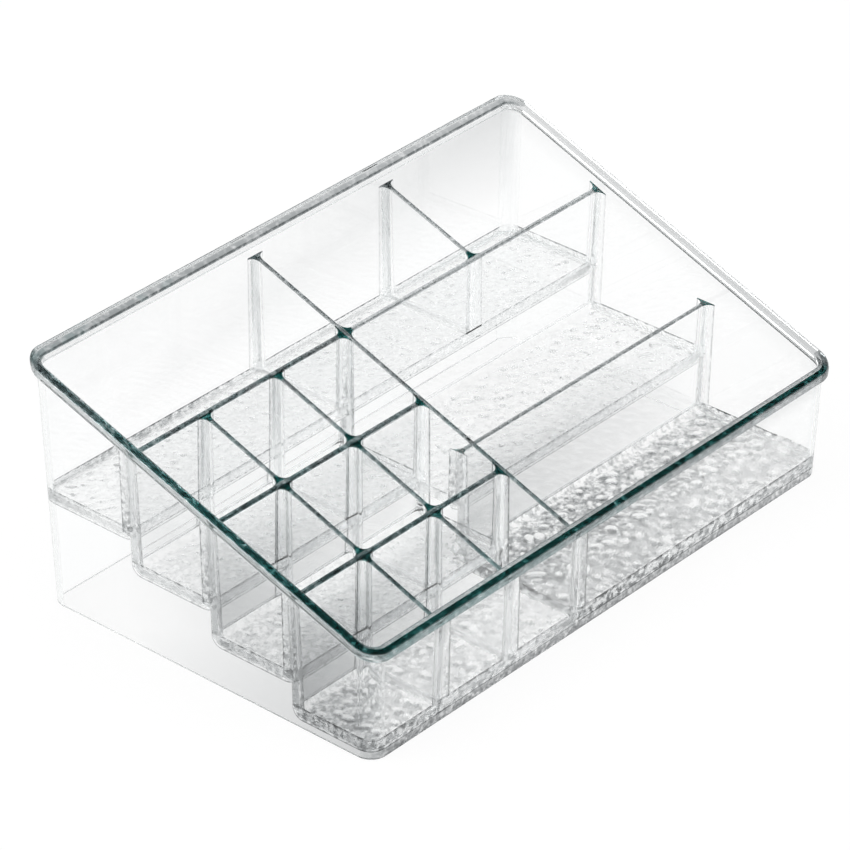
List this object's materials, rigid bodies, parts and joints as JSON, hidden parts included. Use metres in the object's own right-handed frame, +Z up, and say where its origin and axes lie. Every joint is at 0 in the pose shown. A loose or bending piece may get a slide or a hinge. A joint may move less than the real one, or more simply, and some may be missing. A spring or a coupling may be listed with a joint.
{
  "type": "vanity organizer",
  "caption": "Clear stepped vanity organizer with a sloped rim, small upright slots at the left, open trays at the right and a raised back row.",
  "frame": {"origin": "centre of the whole part's outline in plan, on the surface that it stands on", "axes": "+X to the right seen from the low front, +Y from the low front to the high back, +Z up"},
  "size_m": [0.2502, 0.152, 0.097],
  "materials": {
    "clear_plastic": "clear polished plastic, a little green-grey where it is seen edge-on, with lightly pebbled floors"
  },
  "bodies": {
    "root": {"front_wall": "clear_plastic", "back_wall": "clear_plastic", "left_wall": "clear_plastic", "right_wall": "clear_plastic", "front_rim": "clear_plastic", "back_rim": "clear_plastic", "left_rim": "clear_plastic", "right_rim": "clear_plastic", "back_row_floor": "clear_plastic", "rear_slot_floor": "clear_plastic", "middle_slot_floor": "clear_plastic", "front_slot_floor": "clear_plastic", "middle_tray_floor": "clear_plastic", "front_tray_floor": "clear_plastic", "back_row_wall_left": "clear_plastic", "back_row_wall_right": "clear_plastic", "rear_slot_wall": "clear_plastic", "front_slot_wall": "clear_plastic", "center_divider": "clear_plastic", "back_row_divider": "clear_plastic", "tray_divider": "clear_plastic", "left_slot_divider_rear": "clear_plastic", "left_slot_divider_middle": "clear_plastic", "left_slot_divider_front": "clear_plastic", "right_slot_divider_rear": "clear_plastic", "right_slot_divider_middle": "clear_plastic", "right_slot_divider_front": "clear_plastic"}
  },
  "joints": []
}
